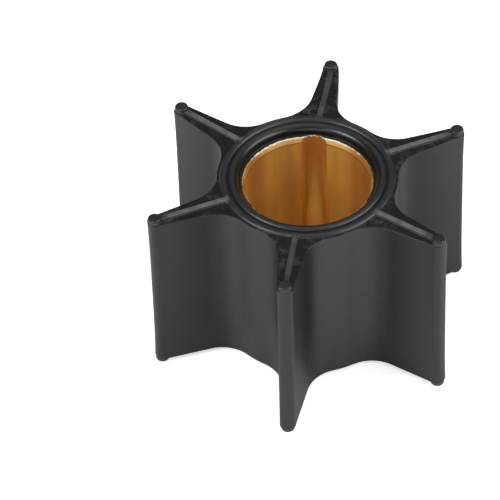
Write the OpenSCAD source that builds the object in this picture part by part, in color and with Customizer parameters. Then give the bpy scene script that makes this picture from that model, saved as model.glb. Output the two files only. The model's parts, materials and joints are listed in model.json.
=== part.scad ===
// Flexible pump impeller: a moulded rubber hub with straight radial vanes around a brass bush.
//
// The bore's axis is Z. The part stands on its lower tip beads at Z = 0, and the keyway faces +Y,
// in line with one of the vanes. Both ends are alike.

/* [Overall] */
// Height over the tip beads of both ends
height = 39; // [34:0.1:44]
// Distance from the bore's axis to the outer edge of a vane
reach = 33.45; // [32:0.05:36]
// Number of vanes
vane_count = 6; // [4:1:7]

/* [Vanes] */
// Thickness where a vane meets the hub's outline
vane_root = 6.1; // [5:0.1:7]
// Thickness at the rounded outer edge
vane_tip = 3.15; // [3:0.05:4]
// Radius of the fillet between a vane and the hub
root_fillet = 7.3; // [4:0.1:7.5]

/* [End faces] */
// Depth of the vanes' end faces below the tips of the beads
end_recess = 1; // [0.9:0.1:2]
// Height of the ribs and of the hub's rings above the end faces
ridge = 0.5; // [0.2:0.1:0.8]
// Width of the rib that runs along the end of each vane
rib_w = 1.15; // [0.8:0.05:2]
// Radius of the round bead at the outer end of each rib
bead_r = 1.45; // [1.1:0.05:1.5]
// Distance of a bead from the vane's outer edge
bead_inset = 0.05; // [0.05:0.05:0.3]
// Rounding around the end of a bead
bead_round = 0.3; // [0.1:0.05:0.5]

/* [Hub] */
// Radius of the hub's outline between the vanes
hub_r = 17.8; // [17.2:0.1:19]
// Width of the step between that outline and the outer ring
ledge = 0.5; // [0.3:0.1:0.8]
// Width of the outer ring
ring_w = 1.6; // [1.3:0.05:1.7]
// Width of the groove between the outer and the inner ring
groove_w = 0.2; // [0.1:0.05:0.4]
// Depth of that groove below the crests of the rings
groove_depth = 0.6; // [0.3:0.1:0.7]
// Width of the flat along the crest of each ring, which is round on both sides of it
crest = 0.1; // [0.05:0.05:0.4]
// Radius of the rubber lip above each end of the bush
lip_r = 13.45; // [13.4:0.05:14]

/* [Bush] */
// Diameter of the bore
bore_d = 24.6; // [23.8:0.1:24.8]
// Thickness of the bush's wall
bush_wall = 2.3; // [2:0.1:2.6]
// Depth of the bush's ends below the tips of the beads
bush_set = 2.35; // [2:0.05:4]
// Width of the steep lead-in at both ends of the bore
lead_w = 0.4; // [0.2:0.05:0.6]
// Depth of that lead-in
lead_depth = 1.3; // [0.6:0.1:2]
// Thickness of the rubber film over the bush's end faces
film = 0.2; // [0.1:0.05:0.4]

/* [Keyway] */
// Radius of the keyway's round floor
key_r = 3.25; // [2.8:0.05:3.4]
// Depth of the keyway below the bore's wall
key_depth = 1; // [0.7:0.05:1.05]

/* [Hidden] */
$fn = 96;
bore_r = bore_d / 2;
bush_r = bore_r + bush_wall;
bush_low = bush_set;
bush_high = height - bush_set;
film_r = bore_r + lead_w + 0.1;
ring_r = hub_r - ledge;
groove_r = ring_r - ring_w - groove_w;
// The crests of the rings lie on these circles
outer_crest = ring_r - ring_w / 2;
inner_crest = (groove_r + lip_r) / 2;
// The rings and ribs end at these heights, and the vanes' faces at the recess
ridge_low = end_recess - ridge;
ridge_high = height - ridge_low;
face_low = end_recess;
face_high = height - end_recess;
// The vanes start inside the outer ring, clear of the groove
vane_start = outer_crest - ring_w / 6;
// Centre of a vane's outer rounding, and of the bead inside it
tip_c = reach - vane_tip / 2;
bead_c = reach - bead_inset - bead_r;
// The flanks close in by this much for each unit of radius
taper = (vane_root - vane_tip) / 2 / (tip_c - hub_r);
flank_angle = atan(taper);
// Half of the thickness that the flanks would have at the axis
half_at_axis = vane_root / 2 + taper * hub_r;
// The root fillet's arc dips this far into the hub and the flank, so that each junction is clean
fillet_dip = 0.02;
fillet_gap = root_fillet - fillet_dip;
fillet_dist = hub_r + fillet_gap;
fillet_angle = asin((fillet_gap + half_at_axis * cos(flank_angle)) / fillet_dist) - flank_angle;
fillet_c = fillet_dist * [cos(fillet_angle), sin(fillet_angle)];
// A point inside the vane, past the end of the fillet's arc
fillet_end = fillet_c - (root_fillet + 1) * [sin(flank_angle), cos(flank_angle)];

// Runs its children once for each vane, with the vane along +X in the child's frame
module each_vane() {
    for (i = [0 : vane_count - 1])
        rotate([0, 0, 90 + i * 360 / vane_count])
            children();
}

// Rectangle with its four corners rounded
module rounded_rect(low, high, round) {
    size = high - low;
    translate(low + [round, 0])
        square([size.x - 2 * round, size.y]);
    translate(low + [0, round])
        square([size.x, size.y - 2 * round]);
    for (x = [low.x + round, high.x - round], y = [low.y + round, high.y - round])
        translate([x, y])
            circle(round, $fn = 24);
}

// Corner between the hub's circle and one flank, up to the arc of the fillet
module root_corner() {
    difference() {
        polygon([[0, 0], fillet_c, fillet_end]);
        translate(fillet_c)
            circle(root_fillet);
    }
}

// Outline of one vane along +X: two closing flanks, a round end and both root fillets
module vane_outline() {
    // The flanks end just inside the round end, so that each meets it in one clean line
    flank_x = tip_c + vane_tip / 20;
    flank_y = half_at_axis - taper * flank_x;
    polygon([
        [0, -half_at_axis],
        [flank_x, -flank_y],
        [flank_x, flank_y],
        [0, half_at_axis],
    ]);
    translate([tip_c, 0])
        circle(vane_tip / 2);
    root_corner();
    mirror([0, 1])
        root_corner();
}

// Star outline of the hub and all the vanes, open in the middle for the revolved hub
module star_outline() {
    difference() {
        union() {
            circle(hub_r);
            each_vane()
                vane_outline();
        }
        circle(vane_start);
    }
}

// One ring of the hub in section, from end to end, with its crests rounded
module ring_section(inside, outside) {
    rounded_rect([inside, ridge_low], [outside, ridge_high], (outside - inside - crest) / 2);
}

// Part of the hub in section that starts at a given depth below both ends
module core_section(inside, outside, depth) {
    translate([inside, depth])
        square([outside - inside, height - 2 * depth]);
}

// Hub in section, around the seat of the bush: an outer and an inner ring, the web below the
// groove between them, and the thin film that reaches inwards over the bush's end faces
module hub_section() {
    difference() {
        union() {
            ring_section(ring_r - ring_w, ring_r);
            ring_section(lip_r, groove_r);
            core_section(inner_crest, outer_crest, ridge_low + groove_depth);
            core_section(film_r, outer_crest, bush_low - film);
        }
        translate([0, bush_low])
            square([bush_r, bush_high - bush_low]);
    }
}

// Round-floored keyway along the whole bore
module keyway() {
    translate([0, bore_r + key_depth - key_r, -1])
        cylinder(h = height + 2, r = key_r);
}

// Bead with rounded ends, standing proud of the ribs at both ends of a vane's edge
module bead() {
    rotate_extrude()
        intersection() {
            translate([-bead_r, 0])
                rounded_rect([0, 0], [2 * bead_r, height], bead_round);
            square([bead_r, height]);
        }
}

module vaned_body() {
    color("#2c2d30")
        difference() {
            union() {
                translate([0, 0, face_low])
                    linear_extrude(face_high - face_low)
                        star_outline();
                rotate_extrude()
                    hub_section();
                each_vane() {
                    translate([outer_crest, -rib_w / 2, ridge_low])
                        cube([bead_c - outer_crest, rib_w, ridge_high - ridge_low]);
                    translate([bead_c, 0, 0])
                        bead();
                }
            }
            keyway();
        }
}

module hub_bush() {
    color("#b07a35")
        difference() {
            rotate_extrude()
                polygon([
                    [bore_r, bush_low + lead_depth],
                    [bore_r + lead_w, bush_low],
                    [bush_r, bush_low],
                    [bush_r, bush_high],
                    [bore_r + lead_w, bush_high],
                    [bore_r, bush_high - lead_depth],
                ]);
            keyway();
        }
}

vaned_body();
hub_bush();
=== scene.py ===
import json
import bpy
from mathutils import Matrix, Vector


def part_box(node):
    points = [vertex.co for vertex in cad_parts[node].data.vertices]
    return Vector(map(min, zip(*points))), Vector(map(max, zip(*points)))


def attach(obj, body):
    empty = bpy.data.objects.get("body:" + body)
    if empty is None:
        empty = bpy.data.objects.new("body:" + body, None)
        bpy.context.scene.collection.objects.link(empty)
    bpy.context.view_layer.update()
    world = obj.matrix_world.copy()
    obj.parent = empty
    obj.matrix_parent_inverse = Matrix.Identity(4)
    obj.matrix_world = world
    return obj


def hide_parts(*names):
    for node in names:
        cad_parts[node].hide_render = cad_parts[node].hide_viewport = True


bl_info = {
    "name": "Pump impeller",
    "version": (1, 0, 0),
    "blender": (4, 5, 0),
    "location": "3D View > Sidebar > Impeller",
    "description": "Dresses a flexible pump impeller: moulded rubber vanes on a keyed brass bush",
    "category": "Add Mesh",
}

from math import asin, atan, atan2, cos, pi, radians, sin, sqrt

import bmesh
import bpy
from bpy.props import FloatProperty, FloatVectorProperty, PointerProperty
from bpy.types import Operator, Panel, PropertyGroup
from mathutils import Matrix, Vector, noise

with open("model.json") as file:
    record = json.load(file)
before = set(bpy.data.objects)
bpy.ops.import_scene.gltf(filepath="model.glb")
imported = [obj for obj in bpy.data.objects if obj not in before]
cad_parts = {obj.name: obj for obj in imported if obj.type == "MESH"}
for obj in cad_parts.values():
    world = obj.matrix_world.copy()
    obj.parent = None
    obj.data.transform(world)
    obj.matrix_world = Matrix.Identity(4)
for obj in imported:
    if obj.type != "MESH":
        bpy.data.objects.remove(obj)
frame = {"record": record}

MM = 0.001
BODY_LOW, BODY_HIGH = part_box("vaned_body")
BUSH_LOW, BUSH_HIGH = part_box("hub_bush")
BORE = next(m for m in frame["record"]["mounts"] if m["name"] == "bore")

VANES = 6
# Half of the angle from one vane to the next
SECTOR = pi / VANES
# How each soft vane has set, in mm at its tip, counter-clockwise from the one in line with the
# keyway: how far it leans clockwise, and how far its upper end also leans the other way and draws
# in. A negative number goes the opposite way.
SET = ((-0.6, -0.85, -0.15), (0.28, 0, 0), (-0.1, 0, 0),
       (0.03, 0, 0.95), (0, 0.8, 0.6), (-0.22, 0, 0))

# Distance of a bead from the vane's outer edge
BEAD_INSET = 0.05 * MM
# Half of the flat along the outer ring's crest
CREST_FLAT = 0.05 * MM
# Roundings of a rib's edges and of the end faces' outer edges
RIB_ROUND, EDGE_ROUND = 0.17 * MM, 0.16 * MM
# Edges that turn by more than this stay sharp
SHARP = radians(40)

# How worn the rings' crests are, where a rib's top is 1
RING_WEAR = 0.12
# How much a bead's top is like a rib's top, and how much like an end face
BEAD_WEAR, BEAD_SHINE = 0.05, 0.6

# Painted shade in bands down the bore, where it mirrors less light: azimuth of the middle and half
# width in degrees, and strength
SHADE_BANDS = ((26, 34, 1.0), (50, 16, 0.4), (115, 18, 0.35), (160, 34, 0.8), (-165, 40, 0.8),
              (-60, 40, 0.5), (-120, 30, 0.4), (-10, 22, 0.7))
# Azimuth of the middle of the thickest stretch of painted glints along the burr
GLINT_MIDDLE = radians(105)

# The studio's lamps: name, place and size in metres, and power in watts
LAMPS = (("Overhead", (0.1, 0.15, 1.0), (0.8, 0.8), 2),
         ("Left", (-0.62, -0.4, 0.68), (0.45, 0.45), 6),
         ("Right", (0.7, -0.1, 0.64), (0.9, 0.45), 6.5),
         ("Front", (-0.05, -0.95, 0.4), (0.9, 0.5), 2.5))
# How strongly the white surround lights the part
SURROUND_LIGHT = 0.2
# How strongly the floor glows where the camera sees it, and where a shiny surface mirrors it
FLOOR_SEEN, FLOOR_MIRRORED = 0.6, 0.04
# Width of the camera's sensor in mm
SENSOR = 36

# Steps of a loop round the bore, along the keyway's floor and round the rest of it
FILM_STEPS, BORE_STEPS = (24, 236), (20, 180)
# Points closer than this are welded: those of vanes and mirrored ends, and those of fine loops
WELD, FINE_WELD = 0.004 * MM, 0.002 * MM

# Columns of the grid that is laid over half a vane, from its tip to the middle of the pocket
BEAD_FRONT, BEAD_BACK, RIB, CORNER, RING = 8, 6, 9, 5, 8
BEAD_END = BEAD_FRONT + BEAD_BACK
RIB_END = BEAD_END + RIB
CORNER_END = RIB_END + CORNER
COLUMNS = CORNER_END + RING


class ImpellerBodySettings(PropertyGroup):
    """Sizes of the moulded rubber body"""

    height: FloatProperty(
        name="Height", description="Height over the beads of both ends",
        default=BODY_HIGH.z - BODY_LOW.z, unit="LENGTH")
    reach: FloatProperty(
        name="Reach", description="Distance from the axis to a vane's outer edge",
        default=BODY_HIGH.y - 0.15 * MM, unit="LENGTH")
    hub: FloatProperty(
        name="Hub", description="Radius of the hub's outline between the vanes",
        default=17.8 * MM, unit="LENGTH")
    ring: FloatProperty(
        name="Ring", description="Radius of the raised outer ring",
        default=17.3 * MM, unit="LENGTH")
    ring_width: FloatProperty(
        name="Ring width", description="Width of the outer ring",
        default=1.6 * MM, unit="LENGTH")
    groove: FloatProperty(
        name="Groove", description="Radius of the middle of the groove between the rings",
        default=15.6 * MM, unit="LENGTH")
    groove_width: FloatProperty(
        name="Groove width", description="Width of the groove's flat bottom",
        default=0.2 * MM, unit="LENGTH")
    groove_depth: FloatProperty(
        name="Groove depth", description="Depth of that groove below the crests of the rings",
        default=0.6 * MM, unit="LENGTH")
    lip: FloatProperty(
        name="Lip", description="Radius of the lip above each end of the bush",
        default=13.45 * MM, unit="LENGTH")
    root: FloatProperty(
        name="Root", description="Thickness of a vane where it meets the hub",
        default=6.1 * MM, unit="LENGTH")
    tip: FloatProperty(
        name="Tip", description="Thickness of a vane at its outer edge",
        default=3.25 * MM, unit="LENGTH")
    fillet: FloatProperty(
        name="Root fillet", description="Radius between a vane and the hub",
        default=7.3 * MM, unit="LENGTH")
    recess: FloatProperty(
        name="Recess", description="Depth of the end faces below the beads",
        default=1.0 * MM, unit="LENGTH")
    ridge: FloatProperty(
        name="Ridge", description="Height of the ribs and rings above the end faces",
        default=0.5 * MM, unit="LENGTH")
    rib: FloatProperty(
        name="Rib", description="Width of the rib along the end of each vane",
        default=1.15 * MM, unit="LENGTH")
    bead: FloatProperty(
        name="Bead", description="Radius of the round bead at each vane's tip",
        default=1.35 * MM, unit="LENGTH")
    waist: FloatProperty(
        name="Waist", description="How far a vane's outer edge draws in at mid height",
        default=0.2 * MM, unit="LENGTH")


class ImpellerBushSettings(PropertyGroup):
    """Sizes of the brass bush"""

    bore: FloatProperty(
        name="Bore", description="Radius of the bore",
        default=BORE["dims"]["r_mm"] * MM, unit="LENGTH")
    outside: FloatProperty(
        name="Outside", description="Radius of the bush's outside",
        default=BUSH_HIGH.x, unit="LENGTH")
    low: FloatProperty(
        name="Lower end", description="Height of the bush's lower end",
        default=BUSH_LOW.z, unit="LENGTH")
    high: FloatProperty(
        name="Upper end", description="Height of the bush's upper end",
        default=BUSH_HIGH.z, unit="LENGTH")
    lead_width: FloatProperty(
        name="Lead-in width", description="Width of the steep lead-in at both ends of the bore",
        default=0.4 * MM, unit="LENGTH")
    lead_depth: FloatProperty(
        name="Lead-in depth", description="Depth of that lead-in",
        default=1.3 * MM, unit="LENGTH")
    key_radius: FloatProperty(
        name="Keyway radius", description="Radius of the keyway's round floor",
        default=3.25 * MM, unit="LENGTH")
    key_depth: FloatProperty(
        name="Keyway depth", description="Depth of the keyway below the bore's wall",
        default=1.0 * MM, unit="LENGTH")
    key_turn: FloatProperty(
        name="Keyway turn", description="How far the bush sits turned from the vane's middle",
        default=radians(1.9), subtype="ANGLE")
    film: FloatProperty(
        name="Film", description="Thickness of the rubber film over the bush's ends",
        default=0.08 * MM, unit="LENGTH")


class ImpellerFinishSettings(PropertyGroup):
    """Colours of the rubber and the brass"""

    rubber: FloatVectorProperty(
        name="Rubber", description="Colour of the moulded flanks",
        default=(0.021, 0.021, 0.0227), subtype="COLOR", min=0, max=1)
    rubber_floor: FloatVectorProperty(
        name="End faces", description="Colour of the sunk, shiny end faces",
        default=(0.004, 0.004, 0.0045), subtype="COLOR", min=0, max=1)
    rubber_top: FloatVectorProperty(
        name="Ridges", description="Colour of the ridges that other parts touch",
        default=(0.1, 0.1, 0.105), subtype="COLOR", min=0, max=1)
    # Painted shade on the walls and film down in the recess between the lip and the bush
    rubber_seat_shade: FloatVectorProperty(
        name="Seat shade", description="Colour of the dark walls between the lip and the bush",
        default=(0.002, 0.002, 0.0022), subtype="COLOR", min=0, max=1)
    brass: FloatVectorProperty(
        name="Brass", description="Colour of the machined brass",
        default=(1.0, 0.63, 0.14), subtype="COLOR", min=0, max=1)
    # Painted highlight on the steep lead-ins, for the bright surround they mirror
    brass_lead_highlight: FloatVectorProperty(
        name="Lead-in highlight", description="Colour of the brass on the steep lead-ins",
        default=(1.0, 0.8, 0.4), subtype="COLOR", min=0, max=1)
    # Painted shade in the keyway towards its ends, for the dimmer light it mirrors there
    brass_keyway_shade: FloatVectorProperty(
        name="Keyway", description="Colour of the brass in the smooth keyway",
        default=(0.72, 0.34, 0.09), subtype="COLOR", min=0, max=1)
    # Painted glints: pale specks along the ragged burr at the bore's mouth
    brass_burr_glint: FloatVectorProperty(
        name="Burr glints", description="Colour of the ragged burr around the bore's mouth",
        default=(0.9, 0.84, 0.68), subtype="COLOR", min=0, max=1)
    # Duller brass, also used for the painted shade in the bands down the bore
    brass_dull_and_shade: FloatVectorProperty(
        name="Dull and shaded brass", description="Colour of the brass where it has dulled",
        default=(0.54, 0.25, 0.06), subtype="COLOR", min=0, max=1)


class ImpellerStageSettings(PropertyGroup):
    """Place and lens of the studio camera"""

    azimuth: FloatProperty(
        name="Azimuth", description="Turn of the camera around the part",
        default=radians(8.684), subtype="ANGLE")
    elevation: FloatProperty(
        name="Elevation", description="Height of the camera above the horizon",
        default=radians(44.55), subtype="ANGLE")
    roll: FloatProperty(
        name="Roll", description="Turn of the picture in its own plane",
        default=radians(1.197), subtype="ANGLE")
    distance: FloatProperty(
        name="Distance", description="Distance from the camera to the middle of the part",
        default=749.7 * MM, unit="LENGTH")
    scale: FloatProperty(
        name="Scale",
        description="Size of one millimetre in the picture, in hundredths of its width",
        default=1.007)
    across: FloatProperty(
        name="Across",
        description="Distance of the part's middle from the picture's, as a share of its width",
        default=0.1178)
    above: FloatProperty(
        name="Above",
        description="Height of the part's middle over the picture's, as a share of its width",
        default=0.01205)


def polar(radius, angle):
    return Vector((radius * cos(angle), radius * sin(angle)))


def arc(centre, radius, start, end, steps):
    """Points along an arc, without the first one"""
    turns = [start + (end - start) * i / steps for i in range(1, steps + 1)]
    return [Vector(centre) + polar(radius, t) for t in turns]


def line(start, end, steps):
    """Points along a straight line, without the first one"""
    return [start.lerp(end, i / steps) for i in range(1, steps + 1)]


def squarer(p, radius):
    """Moves a point of a round end outwards, so that the end is flatter with tighter corners"""
    return Vector([radius * (abs(c) / radius) ** 0.75 for c in p])


class HalfVane:
    """Three lines in plan around half a vane that points along +X. The spine runs along the tops
    of the rib and the ring, the ridge line follows the foot of bead, rib and ring, and the outline
    follows the vane's tip, flank and fillet. Each has a point for every column of the grid."""

    def __init__(self, s):
        half_rib = s.rib / 2
        bead_c = Vector((s.reach - BEAD_INSET - s.bead, 0))
        ring_mid = s.ring - s.ring_width / 2
        self.bead_c = bead_c

        # The ridge line: bead, rib, the small corner between rib and ring, ring
        bead_turn = pi - asin(half_rib / s.bead)
        side = pi / 2 - atan((s.root - s.tip) / 2 / (s.reach - s.tip / 2 - s.hub))
        corner_r = 0.55 * MM
        corner_c = Vector((sqrt((s.ring + corner_r) ** 2 - (half_rib + corner_r) ** 2),
                           half_rib + corner_r))
        corner_turn = atan2(corner_c.y, corner_c.x)
        ridge = [bead_c + polar(s.bead, 0)]
        ridge += arc(bead_c, s.bead, 0, side, BEAD_FRONT)
        ridge += arc(bead_c, s.bead, side, bead_turn, BEAD_BACK)
        ridge += line(ridge[-1], Vector((corner_c.x, half_rib)), RIB)
        ridge += arc(corner_c, corner_r, -pi / 2, corner_turn - pi, CORNER)
        ridge += arc((0, 0), s.ring, corner_turn, SECTOR, RING)
        self.ridge = ridge

        # Its outward direction at each point, mitred where the bead meets the rib
        out = [(p - bead_c).normalized() for p in ridge[:BEAD_END]]
        radial, across = (ridge[BEAD_END] - bead_c).normalized(), Vector((0, 1))
        out.append((radial + across) / (1 + radial.dot(across)))
        out += [across.copy() for _ in range(RIB)]
        out += [(corner_c - p).normalized() for p in ridge[RIB_END + 1:CORNER_END + 1]]
        out += [p.normalized() for p in ridge[CORNER_END + 1:]]
        self.ridge_out = out

        # The spine: along the rib's middle, then round the ring's
        spine = [Vector((p.x, 0)) for p in ridge[:BEAD_END]]
        spine.append(bead_c - Vector((s.bead, 0)))
        spine += [Vector((p.x, 0)) for p in ridge[BEAD_END + 1:RIB_END + 1]]
        spine.append(Vector(((corner_c.x + ring_mid) / 2, 0)))
        spine.append(Vector((ring_mid, 0)))
        spine += arc((0, 0), ring_mid, 0, corner_turn, CORNER - 2)
        spine += arc((0, 0), ring_mid, corner_turn, SECTOR, RING)
        self.spine = spine

        # The outline: round tip, flank, fillet and hub
        tip_r = s.tip / 2
        tip_c = Vector((s.reach - tip_r, 0))
        taper = (s.root - s.tip) / 2 / (tip_c.x - s.hub)
        slope = atan(taper)
        axis_half = s.root / 2 + taper * s.hub
        away = s.hub + s.fillet
        fillet_turn = asin((s.fillet + axis_half * cos(slope)) / away) - slope
        fillet_c = polar(away, fillet_turn)
        flank_out = polar(1, pi / 2 - slope)
        foot = fillet_c - flank_out * s.fillet
        outline = [tip_c + polar(tip_r, 0)]
        outline += [tip_c + squarer(p - tip_c, tip_r)
                    for p in arc(tip_c, tip_r, 0, pi / 2 - slope, BEAD_FRONT)]
        # Beside the bead, the flank's points lie a little further in than the bead's own
        for p in ridge[BEAD_FRONT + 1:BEAD_END + 1]:
            x = p.x - 0.1 * MM
            outline.append(Vector((x, axis_half - taper * x)))
        outline += line(outline[-1], foot, RIB)
        hub_steps = 3
        round_steps = CORNER + RING - hub_steps
        outline += arc(fillet_c, s.fillet, -pi / 2 - slope, fillet_turn - pi, round_steps)
        outline += arc((0, 0), s.hub, fillet_turn, SECTOR, hub_steps)
        self.outline = outline
        normals = [(p - tip_c).normalized() for p in outline[:BEAD_FRONT + 1]]
        normals += [flank_out.copy() for _ in range(BEAD_BACK + RIB)]
        normals += [(fillet_c - p).normalized()
                    for p in outline[RIB_END + 1:RIB_END + 1 + round_steps]]
        normals += [p.normalized() for p in outline[RIB_END + 1 + round_steps:]]
        self.outline_out = normals


def section_rows():
    """Rows of the grid, from the spine down to the flank's middle height. Each is a kind and how
    far along that kind it lies: a turn in degrees round an edge, or a share of a distance."""
    rows = [("spine", 0)]
    rows += [("top", turn) for turn in (-1, 0, 30, 60, 90)]
    rows += [("foot", turn) for turn in (0, 30, 60, 90)]
    rows += [("floor", share) for share in (0.12, 0.5, 0.88)]
    rows += [("edge", turn) for turn in (0, 30, 60, 90)]
    rows += [("flank", share) for share in (0.01, 0.03, 0.07, 0.13, 0.22, 0.34, 0.5, 0.75, 1)]
    return rows


def place(s, plan, column, kind, share):
    """Where a grid's vertex goes, and how much it is ridge top and end face"""
    ridge, out = plan.ridge[column], plan.ridge_out[column]
    edge, edge_out = plan.outline[column], plan.outline_out[column]
    gap = (edge - ridge).length
    face, top = s.height - s.recess, s.height - s.recess + s.ridge
    # The rib has narrow rounded edges. The ring is one dome from its crest down to its foot, where
    # its side still leans by 22 degrees.
    on_ring = min(max((column - RIB_END) / CORNER, 0), 1)
    top_round = RIB_ROUND * (1 - on_ring) + (s.ring_width / 2 - CREST_FLAT) * on_ring
    top_turn = radians(90 - 22 * on_ring)
    foot_round = (0.1 - 0.07 * on_ring) * MM
    # Where ridge and outline lie close together, the roundings between them are narrower in plan
    foot_width, edge_width = min(foot_round, 0.3 * gap), min(EDGE_ROUND, 0.3 * gap)
    turn = radians(share)
    if kind == "spine":
        p, z, high, low = plan.spine[column], top, 1, 0
    elif kind == "top" and share < 0:
        p = (ridge - out * top_round * sin(top_turn)).lerp(plan.spine[column], 0.3)
        z, high, low = top, 1, 0
    elif kind == "top":
        turn *= top_turn / (pi / 2)
        p = ridge - out * top_round * (sin(top_turn) - sin(turn))
        z, high, low = top - top_round * (1 - cos(turn)), 1 - sin(turn) / 2, 0
    elif kind == "foot":
        p = ridge + out * foot_width * (1 - cos(turn))
        z, high, low = face + foot_round * (1 - sin(turn)), 0.4 * cos(turn), sin(turn)
    elif kind == "floor":
        start, end = ridge + out * foot_width, edge - edge_out * edge_width
        p, z, high, low = start.lerp(end, share), face, 0, 1
    elif kind == "edge":
        p = edge - edge_out * edge_width * (1 - sin(turn))
        z, high, low = face - EDGE_ROUND * (1 - cos(turn)), 0, 1 - sin(turn)
    else:
        p, high, low = edge, 0, 0
        z = (face - EDGE_ROUND) * (1 - share) + s.height / 2 * share
    # The rib's end follows the bead's wall, and there is no rib top in front of it
    if column == BEAD_END and kind in ("spine", "top"):
        p = Vector((plan.bead_c.x - sqrt(s.bead ** 2 - p.y ** 2), p.y))
    if column < BEAD_END and kind in ("spine", "top"):
        z = top - top_round
    high *= 1 - (1 - RING_WEAR) * on_ring
    # The rib is painted darker at the foot of the bead: painted shade in the crease where rib and
    # bead meet
    if BEAD_END <= column <= BEAD_END + 1:
        high *= 0.15 + 0.35 * (column - BEAD_END)
    return Vector((p.x, p.y, z)), high, low


def half_vane(s, plan):
    """A grid laid over the upper half of one side of a vane, and open where the bead rises"""
    rows = section_rows()
    last_top = rows.index(("top", 90))
    bm = bmesh.new()
    high, low, _ = (bm.verts.layers.float.new(name) for name in ("ridge", "floor", "seat"))
    bmesh.ops.create_grid(bm, x_segments=COLUMNS, y_segments=len(rows) - 1, size=1)
    inside = []
    for v in bm.verts:
        column = round((v.co.x + 1) / 2 * COLUMNS)
        row = round((v.co.y + 1) / 2 * (len(rows) - 1))
        v.co, v[high], v[low] = place(s, plan, column, *rows[row])
        if column < BEAD_END and row < last_top:
            inside.append(v)
    bmesh.ops.delete(bm, geom=inside, context="VERTS")
    return bm


def open_loop(bm, test):
    """The open edges whose ends both pass a test"""
    return [e for e in bm.edges if e.is_boundary and all(test(v.co) for v in e.verts)]


def extrude_loop(bm, edges, move):
    """Extrudes open edges, sends each new vertex where move says, and returns the new edges and
    vertices"""
    made = bmesh.ops.extrude_edge_only(bm, edges=edges)["geom"]
    verts = [g for g in made if isinstance(g, bmesh.types.BMVert)]
    for v in verts:
        v.co = move(v.co)
    return [g for g in made if isinstance(g, bmesh.types.BMEdge) and g.is_boundary], verts


def raise_bead(bm, s, plan):
    """Carries the bead up from the rib's height to its rounded top"""
    high, low = (bm.verts.layers.float[name] for name in ("ridge", "floor"))
    centre = Vector((plan.bead_c.x, 0, 0))

    def on_wall(p):
        return (p.xy - plan.bead_c).length < s.bead + 0.02 * MM and p.z > s.height - s.recess

    # Each step in from the bead's wall, and down from the edge of its slightly domed top
    dome, bead_round = 0.03 * MM, 0.32 * MM
    steps = [(0, 0.36 * MM)]
    steps += [(bead_round * (1 - cos(radians(a))), bead_round * (1 - sin(radians(a))))
              for a in (0, 30, 60, 90)]
    steps += [(0.5 * MM, -0.4 * dome), (1.0 * MM, -dome)]
    edges = open_loop(bm, on_wall)
    for inset, drop in steps:
        def move(p, inset=inset, drop=drop):
            away = (p - centre).xy.normalized() * (s.bead - inset)
            return Vector((centre.x + away.x, away.y, s.height - dome - drop))
        edges, verts = extrude_loop(bm, edges, move)
        for v in verts:
            v[high], v[low] = BEAD_WEAR, BEAD_SHINE
    cap = bmesh.ops.contextual_create(bm, geom=edges)["faces"]
    bmesh.ops.poke(bm, faces=cap)


def lean(s, co):
    """Sets a vane's vertex as the soft rubber has, and draws the outer edge in at mid height"""
    vane = round((atan2(co.y, co.x) - pi / 2) / (2 * SECTOR)) % VANES
    turn = pi / 2 + vane * 2 * SECTOR
    along, across = Vector((cos(turn), sin(turn), 0)), Vector((-sin(turn), cos(turn), 0))
    out = co.dot(along)
    bend = max(0, (out - s.hub) / (s.reach - s.hub)) ** 2
    # The upper end's own set is the same all over the bead, so that it stays round
    bead_side = s.reach - 3.3 * MM
    upper = min(1, max(0, (out - s.hub) / (bead_side - s.hub))) * co.z / s.height
    level = abs(co.z - s.height / 2) / (s.height / 2 - s.recess)
    # The waist starts at a radius of 27 mm and is full 5 mm further out
    outer = min(max((out - 27 * MM) / (5 * MM), 0), 1)
    clockwise, back, inwards = (amount * MM for amount in SET[vane])
    co -= along * (s.waist * outer * max(0, 1 - level ** 4) + inwards * upper)
    co += across * (back * upper - clockwise * bend)


def all_vanes(bm):
    """Turns copies of the first vane round the axis, and welds them into a star"""
    first = bm.verts[:] + bm.edges[:] + bm.faces[:]
    vanes = [bm.verts[:]]
    for _ in range(VANES - 1):
        made = bmesh.ops.duplicate(bm, geom=first)["geom"]
        vanes.append([g for g in made if isinstance(g, bmesh.types.BMVert)])
    for i, verts in enumerate(vanes):
        turn = Matrix.Rotation(pi / 2 + i * 2 * SECTOR, 3, "Z")
        bmesh.ops.rotate(bm, verts=verts, cent=(0, 0, 0), matrix=turn)
    bmesh.ops.remove_doubles(bm, verts=bm.verts, dist=WELD)


def rounding(centre, radius, start, end, steps):
    """Points of a rounding in section, as radius and height, between two turns in degrees"""
    turns = [radians(start + (end - start) * i / steps) for i in range(steps + 1)]
    return [(centre[0] + radius * cos(t), centre[1] + radius * sin(t)) for t in turns]


def hub_section(s, bush):
    """Section of the hub as radius and height, from the outer ring's crest to the bush's film"""
    top = s.height - s.recess + s.ridge
    film = bush.high + bush.film
    crest = s.ring - s.ring_width / 2
    outer = s.ring_width / 2 - CREST_FLAT
    half = s.groove_width / 2
    bottom = top - s.groove_depth
    section = rounding((crest - CREST_FLAT, top - outer), outer, 90, 166, 8)
    section += [(s.groove + half, bottom), (s.groove - half, bottom)]
    # The inner ring falls off quickly to the groove, and in one wide round to the lip
    steep = outer - 0.02 * MM
    inner_crest = s.groove - half - steep
    wide = inner_crest - s.lip
    section += rounding((inner_crest, top - steep), steep, 12, 90, 8)
    section += rounding((inner_crest, top - wide), wide, 90, 180, 14)[1:]
    # The lip's wall turns in to the film with a small round
    turn_in = 0.1 * MM
    section += [(s.lip, film + 2 * turn_in)]
    section += rounding((s.lip - turn_in, film + turn_in), turn_in, 0, -90, 3)
    return section


def verts_of(edges):
    """The vertices of some edges, each once and in a fixed order"""
    return list(dict.fromkeys(v for e in edges for v in e.verts))


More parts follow.
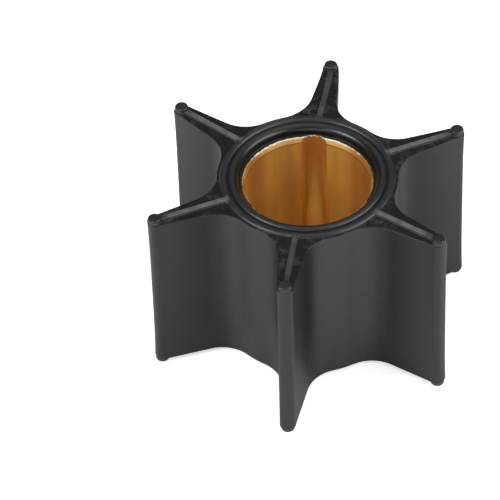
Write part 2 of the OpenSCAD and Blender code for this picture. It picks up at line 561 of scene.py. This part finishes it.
def keyed_loop(bm, bush, radius, z, steps):
    """A closed line around the bore at a radius, let out round the keyway's floor"""
    before = set(bm.edges)
    r = bush.key_radius
    c = bush.bore + bush.key_depth - r
    along = (radius ** 2 - r ** 2 + c ** 2) / (2 * c)
    across = sqrt(radius ** 2 - along ** 2)
    turned = Matrix.Rotation(bush.key_turn, 3, "Z")
    start = bm.verts.new(turned @ Vector((across, along, z)))
    floor_turn = 2 * atan2(across, along - c)
    made = bmesh.ops.spin(bm, geom=[start], cent=turned @ Vector((0, c, z)), axis=(0, 0, 1),
                          angle=floor_turn, steps=steps[0])
    corner = [g for g in made["geom_last"] if isinstance(g, bmesh.types.BMVert)]
    rest = 2 * pi - 2 * atan2(across, along)
    bmesh.ops.spin(bm, geom=corner, cent=(0, 0, z), axis=(0, 0, 1), angle=rest, steps=steps[1])
    made = [e for e in bm.edges if e not in before]
    bmesh.ops.remove_doubles(bm, verts=verts_of(made), dist=FINE_WELD)
    return [e for e in bm.edges if e not in before]


def tear(edges, depth):
    """Moves each point of a loop in or out from the axis by noise, so that its line is ragged"""
    coarse, fine = 0.45 * MM, 0.2 * MM
    for v in verts_of(edges):
        rough = noise.noise(v.co / coarse) + 0.6 * noise.noise(v.co / fine)
        away = v.co.xy.normalized() * depth * (0.5 + 0.6 * rough)
        v.co.x += away.x
        v.co.y += away.y


def keyed_wall(bm, bush, loop, section, steps):
    """Bridges from an open loop through keyed loops at each radius and height of a section"""
    for radius, z in section:
        following = keyed_loop(bm, bush, radius, z, steps)
        if loop:
            bmesh.ops.bridge_loops(bm, edges=loop + following)
        loop = following
    return loop


def outwards(radius, z):
    """A move to a radius and a height, straight out from the axis"""
    def move(p):
        q = p.xy.normalized() * radius
        return Vector((q.x, q.y, z))
    return move


def mirror_ends(bm, middle):
    """Adds the lower half, closes the seam and turns all faces outwards"""
    geom = bm.verts[:] + bm.edges[:] + bm.faces[:]
    bmesh.ops.mirror(bm, geom=geom, matrix=Matrix.Translation((0, 0, -middle)),
                     merge_dist=WELD, axis="Z")
    bmesh.ops.remove_doubles(bm, verts=bm.verts, dist=FINE_WELD)
    bmesh.ops.recalc_face_normals(bm, faces=bm.faces)


def new_piece(name, bm, material):
    """An object of a finished bmesh, smooth but for its sharp edges"""
    for face in bm.faces:
        face.smooth = True
    for edge in bm.edges:
        edge.smooth = len(edge.link_faces) != 2 or edge.calc_face_angle(0) < SHARP
    mesh = bpy.data.meshes.new(name)
    bm.to_mesh(mesh)
    bm.free()
    mesh.materials.append(material)
    piece = bpy.data.objects.new(name, mesh)
    bpy.context.scene.collection.objects.link(piece)
    return piece


class Nodes:
    """Adds nodes to a tree, and sets or links their inputs"""

    def __init__(self, tree):
        self.tree = tree

    def add(self, kind, inputs=(), **settings):
        node = self.tree.nodes.new(kind)
        for name, value in settings.items():
            setattr(node, name, value)
        for name, value in dict(inputs).items():
            self.feed(node.inputs[name], value)
        return node

    def feed(self, socket, value):
        if isinstance(value, bpy.types.NodeSocket):
            self.tree.links.new(value, socket)
        elif isinstance(value, bpy.types.Node):
            self.tree.links.new(value.outputs[0], socket)
        else:
            socket.default_value = value

    def math(self, operation, a, b=0.0):
        return self.add("ShaderNodeMath", {0: a, 1: b}, operation=operation).outputs[0]

    def distance(self, value, middle):
        return self.math("ABSOLUTE", self.math("SUBTRACT", value, middle))

    def attribute(self, name):
        return self.add("ShaderNodeAttribute", attribute_name=name).outputs["Fac"]

    def remap(self, value, low, high, to_low=0.0, to_high=1.0, smooth=False):
        node = self.add("ShaderNodeMapRange",
                        {"Value": value, "From Min": low, "From Max": high,
                         "To Min": to_low, "To Max": to_high})
        if smooth:
            node.interpolation_type = "SMOOTHSTEP"
        return node.outputs["Result"]

    def mix(self, factor, a, b, blend="MIX"):
        node = self.add("ShaderNodeMix", data_type="RGBA", blend_type=blend)
        for name, value in (("Factor_Float", factor), ("A_Color", a), ("B_Color", b)):
            socket = next(i for i in node.inputs if i.identifier == name)
            self.feed(socket, value)
        return next(o for o in node.outputs if o.identifier == "Result_Color")

    def noise(self, vector, scale, detail=3.0, rough=0.5):
        node = self.add("ShaderNodeTexNoise", {"Vector": vector, "Scale": scale,
                                               "Detail": detail, "Roughness": rough})
        return node.outputs["Fac"]

    def scaled(self, vector, factors):
        node = self.add("ShaderNodeMapping", {"Vector": vector, "Scale": factors})
        return node.outputs["Vector"]


def new_group(name, inputs, outputs):
    """An empty shader node group with named sockets, and its input and output nodes"""
    tree = bpy.data.node_groups.new(name, "ShaderNodeTree")
    for label, kind, default in inputs:
        socket = tree.interface.new_socket(name=label, in_out="INPUT", socket_type=kind)
        if default is not None:
            socket.default_value = default
    for label, kind in outputs:
        tree.interface.new_socket(name=label, in_out="OUTPUT", socket_type=kind)
    return tree, tree.nodes.new("NodeGroupInput"), tree.nodes.new("NodeGroupOutput")


def surface_group():
    """Fine grain, soft cloudiness and sparse specks, for any finish"""
    tree, given, result = new_group(
        "Surface life",
        [("Vector", "NodeSocketVector", None), ("Grain", "NodeSocketFloat", 6000.0),
         ("Clouds", "NodeSocketFloat", 140.0), ("Specks", "NodeSocketFloat", 2200.0)],
        [("Grain", "NodeSocketFloat"), ("Clouds", "NodeSocketFloat"),
         ("Specks", "NodeSocketFloat")])
    n = Nodes(tree)
    place_in = given.outputs["Vector"]
    n.feed(result.inputs["Grain"], n.noise(place_in, given.outputs["Grain"], 2, 0.6))
    n.feed(result.inputs["Clouds"], n.noise(place_in, given.outputs["Clouds"], 4, 0.6))
    cells = n.add("ShaderNodeTexVoronoi", {"Vector": place_in, "Scale": given.outputs["Specks"],
                                           "Randomness": 1.0})
    few = n.remap(n.noise(place_in, 900.0, 1), 0.56, 0.66)
    dots = n.remap(cells.outputs["Distance"], 0.12, 0.3, 1, 0)
    n.feed(result.inputs["Specks"], n.math("MULTIPLY", dots, few))
    return tree


def new_material(name, life):
    """Makes a material, and returns its node helper, its shader, the place on the piece and the
    shared surface noise at that place"""
    material = bpy.data.materials.new(name)
    material.use_nodes = True
    tree = material.node_tree
    n = Nodes(tree)
    place_in = n.add("ShaderNodeTexCoord").outputs["Object"]
    group = n.add("ShaderNodeGroup", {"Vector": place_in}, node_tree=life)
    return n, tree.nodes["Principled BSDF"], place_in, group.outputs


def tint(colour, gain=1):
    """A colour with its alpha, made brighter or darker"""
    return (*[c * gain for c in colour], 1)


def set_bump(n, shader, height, depth, strength):
    bump = n.add("ShaderNodeBump", {"Height": height, "Distance": depth, "Strength": strength})
    n.feed(shader.inputs["Normal"], bump.outputs["Normal"])


def painted_flank_light(n, axes):
    """Painted light and shade on the flanks: the hub's wall and the vanes' outer halves are
    painted paler, and the corners between them darker, where shade falls
    """
    spot = n.add("ShaderNodeCombineXYZ", {"X": axes["X"], "Y": axes["Y"]})
    reach = n.add("ShaderNodeVectorMath", {0: spot}, operation="LENGTH").outputs["Value"]
    flank_light = n.math("MAXIMUM", n.remap(reach, 18.2 * MM, 20.5 * MM, 1, 0, True),
                   n.remap(reach, 22 * MM, 32 * MM, 0, 0.42, True))
    # There is less of it on the foot of the outer ring, painted shade in that crease, and more on
    # the keyway's side of the part, painted light on the far vanes, where more light falls
    flank_light = n.math("MULTIPLY", flank_light, n.remap(reach, 17.35 * MM, 17.8 * MM, 0.2, 1))
    return n.math("MULTIPLY", flank_light, n.remap(axes["Y"], 0, 12 * MM, 1, 2.2, True))


def rubber_material(finish, life):
    """Black moulded rubber: dark, shiny end faces, greyer ridges, softly grained flanks, with
    painted light and shade on the flanks and painted shade on the seat
    """
    n, shader, place_in, lively = new_material("Moulded rubber", life)
    axes = n.add("ShaderNodeSeparateXYZ", {"Vector": place_in}).outputs
    ridge, floor, seat = n.attribute("ridge"), n.attribute("floor"), n.attribute("seat")

    clouds = n.remap(lively["Clouds"], 0.35, 0.65)
    flank = n.mix(n.math("MULTIPLY", clouds, 0.35), tint(finish.rubber), tint(finish.rubber, 1.35))
    # Where that share is low the flanks are painted near black: painted shade in the corners
    # between vanes and hub
    flank = n.mix(painted_flank_light(n, axes), tint(finish.rubber, 0.12), flank)
    # Scuffs break up the end faces, and wear the ridges unevenly
    scuffs = n.noise(place_in, 700.0, 4, 0.65)
    where = n.remap(n.noise(place_in, 170.0, 2), 0.42, 0.6)
    marks = n.math("MULTIPLY", n.remap(scuffs, 0.46, 0.6), where)
    end_face = n.mix(marks, tint(finish.rubber_floor), tint(finish.rubber_floor, 5))
    colour = n.mix(floor, flank, end_face)
    worn = n.math("MULTIPLY", ridge, n.remap(scuffs, 0.36, 0.56, 0.55, 1))
    # The ribs in line with the keyway are hardly worn, and those beside it are worn pale
    beside = n.math("ABSOLUTE", axes["X"])
    worn = n.math("MULTIPLY", worn, n.remap(beside, 1.5 * MM, 9 * MM, 0.35, 1, True))
    colour = n.mix(worn, colour, tint(finish.rubber_top))
    # Painted shade darkens the seat, down in the recess between the lip and the bush
    colour = n.mix(seat, colour, tint(finish.rubber_seat_shade))
    specks = n.math("MULTIPLY", lively["Specks"], 0.35)
    n.feed(shader.inputs["Base Color"], n.mix(specks, colour, (0.1, 0.1, 0.1, 1)))

    # The sunk end faces are glossy in patches, and what other parts rub on is duller
    rough = n.remap(floor, 0, 1, 0.5, n.remap(marks, 0, 1, 0.24, 0.6))
    rough = n.remap(ridge, 0, RING_WEAR, rough, 0.28)
    rough = n.remap(ridge, RING_WEAR, 0.3, rough, 0.5)
    n.feed(shader.inputs["Roughness"], n.remap(seat, 0, 1, rough, 0.3))
    set_bump(n, shader, lively["Grain"], 0.03 * MM, 0.5)


def bore_dullness_and_shade(n, place_in, azimuth):
    """Broad bands of painted shade down the bore, over faint cloudiness of duller brass"""
    dull_and_shade = n.math("MULTIPLY", n.noise(n.scaled(place_in, (1, 1, 0.12)), 160.0, 3, 0.6), 0.25)
    for middle, half_width, strength in SHADE_BANDS:
        away = n.distance(azimuth, radians(middle))
        dull_and_shade = n.math("ADD", dull_and_shade, n.remap(away, 0, radians(half_width), strength, 0, True))
    return dull_and_shade


def brass_material(finish, life):
    """Machined brass: upright tool streaks and duller clouds, with painted shade in bands down the
    bore and towards the keyway's ends, a painted highlight on the lead-ins and painted glints on
    the burr
    """
    n, shader, place_in, lively = new_material("Machined brass", life)
    axes = n.add("ShaderNodeSeparateXYZ", {"Vector": place_in}).outputs
    azimuth = n.math("ARCTAN2", axes["Y"], axes["X"])
    keyway, lead, near_edge = n.attribute("keyway"), n.attribute("lead"), n.attribute("burr")

    streaks = n.noise(n.scaled(place_in, (1, 1, 0.04)), 900.0, 4, 0.65)
    dull_and_shade = bore_dullness_and_shade(n, place_in, azimuth)
    colour = n.mix(n.math("MINIMUM", dull_and_shade, 1.0), tint(finish.brass), tint(finish.brass_dull_and_shade))
    fine = n.remap(streaks, 0.35, 0.65, 0.98, 1.08)
    tone = n.add("ShaderNodeCombineColor", {"Red": fine, "Green": fine, "Blue": fine})
    colour = n.mix(1.0, colour, tone, "MULTIPLY")
    specks = n.math("MULTIPLY", lively["Specks"], 0.3)
    colour = n.mix(specks, colour, (0.12, 0.06, 0.02, 1))
    # The keyway is painted darker towards its ends: painted shade, for the dimmer, redder light it
    # mirrors there
    from_middle = n.remap(n.distance(axes["Z"], BODY_HIGH.z / 2), 2 * MM, 14 * MM, 0, 1, True)
    groove = n.mix(from_middle, tint(finish.brass), tint(finish.brass_keyway_shade))
    colour = n.mix(keyway, colour, groove)
    # The lead-in gets a painted highlight, paler towards the mouth, and a thin dark line marks its
    # foot
    lead_highlight = n.mix(n.remap(near_edge, 0.1, 0.8), tint(finish.brass), tint(finish.brass_lead_highlight))
    lead_dull_and_shade = n.math("MINIMUM", n.math("MULTIPLY", dull_and_shade, 1.1), 1.0)
    colour = n.mix(lead, colour, n.mix(lead_dull_and_shade, lead_highlight, tint(finish.brass_dull_and_shade)))
    foot = n.math("MULTIPLY", lead, n.math("SUBTRACT", 1.0, lead))
    colour = n.mix(n.math("MULTIPLY", foot, 3.2), colour, tint(finish.brass_dull_and_shade, 0.45))
    # Painted glints along the ragged burr: chipped by noise, and thinner away from their middle
    thinner = n.remap(n.distance(azimuth, GLINT_MIDDLE), radians(40), radians(75), 1, 0.5)
    chips = n.math("MULTIPLY", n.noise(place_in, 2200.0, 2), thinner)
    burr = n.remap(n.math("MULTIPLY", near_edge, chips), 0.4, 0.48)
    n.feed(shader.inputs["Base Color"], n.mix(burr, colour, tint(finish.brass_burr_glint)))

    rough = n.remap(streaks, 0.3, 0.7, 0.44, 0.56)
    rough = n.remap(keyway, 0, 1, rough, 0.22)
    n.feed(shader.inputs["Roughness"], n.remap(lead, 0, 1, rough, 0.5))
    metal = n.remap(lead, 0, 1, 0.74, 0.7)
    n.feed(shader.inputs["Metallic"], n.remap(burr, 0, 1, metal, 0.2))
    set_bump(n, shader, streaks, 0.01 * MM, 0.3)


class IMPELLER_OT_finishes(Operator):
    """Makes the rubber and brass materials"""

    bl_idname = "impeller.finishes"
    bl_label = "Rubber and brass finishes"

    def execute(self, context):
        finish = context.scene.impeller_finish
        life = surface_group()
        rubber_material(finish, life)
        brass_material(finish, life)
        return {"FINISHED"}


def add_hub(bm, s, bush):
    """Carries the star's inner edge over both rings and down the lip, and returns its last loop"""
    high, low, seat = (bm.verts.layers.float[name] for name in ("ridge", "floor", "seat"))
    top = s.height - s.recess + s.ridge
    seat_from, seat_over = s.lip + 1.1 * MM, 0.35 * MM
    edges = open_loop(bm, lambda p: p.xy.length < s.ring and p.z > s.height / 2 + 1 * MM)
    for radius, z in hub_section(s, bush):
        edges, verts = extrude_loop(bm, edges, outwards(radius, z))
        for v in verts:
            depth = (top - z) / MM
            v[high] = RING_WEAR * max(0, 1 - depth / 0.5)
            v[low] = min(max(depth - 0.4, 0) / 0.4, 1)
            # The seat's mask: how much painted shade each point gets, full just inside the inner
            # ring's crest
            v[seat] = min(max(seat_from - radius, 0) / seat_over, 1)
    return edges


def add_film(bm, bush, edges, middle):
    """Runs the thin, torn film over the bush's end, and the seat around it to mid height"""
    film = bush.high + bush.film
    edge = bush.bore + bush.lead_width + 0.02 * MM
    section = [(edge + 0.4 * MM, film), (edge + 0.3 * MM, film - 0.01 * MM)]
    edges = keyed_wall(bm, bush, edges, section, FILM_STEPS)
    torn = keyed_loop(bm, bush, edge, bush.high + 0.05 * MM, FILM_STEPS)
    tear(torn, 0.22 * MM)
    bmesh.ops.bridge_loops(bm, edges=edges + torn)
    edges, _ = extrude_loop(bm, torn, lambda p: Vector((p.x, p.y, bush.high)))
    for z in (bush.high, middle):
        edges, _ = extrude_loop(bm, edges, outwards(bush.outside, z))


class IMPELLER_OT_vaned_body(Operator):
    """Builds the rubber hub with its vanes, ribs, beads and rings"""

    bl_idname = "impeller.vaned_body"
    bl_label = "Vaned body"

    def execute(self, context):
        s, bush = context.scene.impeller_body, context.scene.impeller_bush
        plan = HalfVane(s)
        bm = half_vane(s, plan)
        bmesh.ops.mirror(bm, geom=bm.verts[:] + bm.edges[:] + bm.faces[:],
                         merge_dist=WELD, axis="Y")
        raise_bead(bm, s, plan)
        all_vanes(bm)
        middle = s.height / 2
        add_film(bm, bush, add_hub(bm, s, bush), middle)
        mirror_ends(bm, middle)
        for v in bm.verts:
            lean(s, v.co)
        body = new_piece("Vaned_body", bm, bpy.data.materials["Moulded rubber"])
        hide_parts("vaned_body")
        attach(body, "root")
        return {"FINISHED"}


def bush_section(s, middle):
    """Section of the bore as radius and height, from mid height up the lead-in to its mouth"""
    foot, steps = s.high - s.lead_depth, 8
    section = [(s.bore, middle), (s.bore, foot - 0.08 * MM),
               (s.bore + 0.004 * MM, foot - 0.02 * MM)]
    section += [(s.bore + s.lead_width * i / steps, s.high - s.lead_depth * (1 - i / steps))
                for i in range(1, steps)]
    # The mouth's edge is broken by a tiny round
    mouth = s.bore + s.lead_width
    section += [(mouth - 0.01 * MM, s.high - 0.05 * MM), (mouth + 0.03 * MM, s.high - 0.01 * MM),
                (mouth + 0.08 * MM, s.high)]
    return section


def mark_bore(bm, s):
    """Marks what is keyway and what is lead-in, and how near the mouth each point lies, for the
    painted highlight and glints there
    """
    lead, keyway, burr = (bm.verts.layers.float.new(name) for name in ("lead", "keyway", "burr"))
    depth = s.lead_depth
    for v in bm.verts:
        above_foot = v.co.z - s.high + depth
        wall = s.bore + max(0, above_foot) / depth * s.lead_width + 0.01 * MM
        v[keyway] = 1 if v.co.xy.length > wall and v.co.z < s.high - 0.02 * MM else 0
        v[lead] = 0 if v[keyway] else min(max((above_foot + 0.1 * MM) / (0.35 * MM), 0), 1)
        v[burr] = max(0, 1 - (s.high - v.co.z) / depth)


class IMPELLER_OT_hub_bush(Operator):
    """Builds the brass bush with its steep lead-ins and round-floored keyway"""

    bl_idname = "impeller.hub_bush"
    bl_label = "Hub bush"

    def execute(self, context):
        s = context.scene.impeller_bush
        middle = (s.low + s.high) / 2
        bm = bmesh.new()
        edges = keyed_wall(bm, s, [], bush_section(s, middle), BORE_STEPS)
        mark_bore(bm, s)
        for z in (s.high, middle):
            edges, _ = extrude_loop(bm, edges, outwards(s.outside, z))
        mirror_ends(bm, middle)
        bush = new_piece("Hub_bush", bm, bpy.data.materials["Machined brass"])
        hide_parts("hub_bush")
        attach(bush, "root")
        return {"FINISHED"}


def floor_material():
    """A pale matt floor that reads as plain white, and keeps the part's soft shadow"""
    material = bpy.data.materials.new("Studio floor")
    material.use_nodes = True
    n, shader = Nodes(material.node_tree), material.node_tree.nodes["Principled BSDF"]
    n.feed(shader.inputs["Base Color"], (0.9, 0.9, 0.9, 1))
    n.feed(shader.inputs["Roughness"], 0.9)
    path = n.add("ShaderNodeLightPath").outputs
    glow = n.math("ADD", n.math("MULTIPLY", path["Is Camera Ray"], FLOOR_SEEN),
                  n.math("MULTIPLY", path["Is Glossy Ray"], FLOOR_MIRRORED))
    n.feed(shader.inputs["Emission Color"], (1, 1, 1, 1))
    n.feed(shader.inputs["Emission Strength"], glow)
    return material


def area_light(name, place_at, aim, size, power):
    """A rectangular lamp that is aimed at a point"""
    data = bpy.data.lights.new(name, "AREA")
    data.shape, data.size, data.size_y, data.energy = "RECTANGLE", size[0], size[1], power
    lamp = bpy.data.objects.new(name, data)
    lamp.location = place_at
    lamp.rotation_mode = "QUATERNION"
    lamp.rotation_quaternion = (Vector(aim) - Vector(place_at)).to_track_quat("-Z", "Y")
    bpy.context.scene.collection.objects.link(lamp)


def set_world():
    """A plain surround that the camera sees as white and that lights the part dimly"""
    world = bpy.data.worlds.new("Studio")
    bpy.context.scene.world = world
    world.use_nodes = True
    n = Nodes(world.node_tree)
    background = world.node_tree.nodes["Background"]
    n.feed(background.inputs["Color"], (1, 1, 1, 1))
    seen = n.add("ShaderNodeLightPath").outputs["Is Camera Ray"]
    n.feed(background.inputs["Strength"], n.remap(seen, 0, 1, SURROUND_LIGHT, 1))


def set_camera(s):
    """A long lens, aimed so that the part stands where the picture has it"""
    data = bpy.data.cameras.new("Camera")
    camera = bpy.data.objects.new("Camera", data)
    bpy.context.scene.collection.objects.link(camera)
    bpy.context.scene.camera = camera
    target = Vector((0, 0, (BODY_LOW.z + BODY_HIGH.z) / 2))
    back = Vector((sin(s.azimuth) * cos(s.elevation), -cos(s.azimuth) * cos(s.elevation),
                   sin(s.elevation)))
    # The lens, in widths of the picture
    focal = s.scale * 0.01 * s.distance / MM
    data.sensor_width = SENSOR
    data.lens = focal * SENSOR
    look = (-back).to_track_quat("-Z", "Y") @ Matrix.Rotation(-s.roll, 3, "Z").to_quaternion()
    offset = Vector((s.across, s.above, -focal)).normalized()
    pan = offset.rotation_difference(Vector((0, 0, -1)))
    camera.location = target + back * s.distance
    camera.rotation_mode = "QUATERNION"
    camera.rotation_quaternion = look @ pan
    data.clip_start, data.clip_end = 0.05, 50


class IMPELLER_OT_stage(Operator):
    """Sets the floor, the soft studio light and the camera"""

    bl_idname = "impeller.stage"
    bl_label = "Studio stage"

    def execute(self, context):
        bm = bmesh.new()
        bmesh.ops.create_grid(bm, x_segments=1, y_segments=1, size=3)
        floor = new_piece("Studio_floor", bm, floor_material())
        for name, place_at, size, power in LAMPS:
            area_light(name, place_at, (0, 0, 20 * MM), size, power)
        set_world()
        set_camera(context.scene.impeller_stage)
        context.scene.view_settings.view_transform = "Standard"
        return {"FINISHED"}


class IMPELLER_PT_panel(Panel):
    """Lists the impeller's steps and settings in the sidebar"""

    bl_label = "Pump impeller"
    bl_idname = "IMPELLER_PT_panel"
    bl_space_type = "VIEW_3D"
    bl_region_type = "UI"
    bl_category = "Impeller"

    def draw(self, context):
        for step in STEPS:
            self.layout.operator(step.bl_idname)
        for group in (context.scene.impeller_body, context.scene.impeller_bush,
                      context.scene.impeller_finish, context.scene.impeller_stage):
            box = self.layout.box()
            for name in group.bl_rna.properties.keys():
                if name not in ("rna_type", "name"):
                    box.prop(group, name)


STEPS = (IMPELLER_OT_finishes, IMPELLER_OT_vaned_body, IMPELLER_OT_hub_bush, IMPELLER_OT_stage)
SETTINGS = {
    "impeller_body": ImpellerBodySettings,
    "impeller_bush": ImpellerBushSettings,
    "impeller_finish": ImpellerFinishSettings,
    "impeller_stage": ImpellerStageSettings,
}


def register():
    for name, group in SETTINGS.items():
        bpy.utils.register_class(group)
        setattr(bpy.types.Scene, name, PointerProperty(type=group))
    for cls in (*STEPS, IMPELLER_PT_panel):
        bpy.utils.register_class(cls)


def unregister():
    for cls in (IMPELLER_PT_panel, *reversed(STEPS)):
        bpy.utils.unregister_class(cls)
    for name, group in SETTINGS.items():
        delattr(bpy.types.Scene, name)
        bpy.utils.unregister_class(group)


def main():
    """Runs every step in order"""
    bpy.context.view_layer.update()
    register()
    bpy.ops.impeller.finishes()
    bpy.ops.impeller.vaned_body()
    bpy.ops.impeller.hub_bush()
    bpy.ops.impeller.stage()


if __name__ == "__main__":
    main()
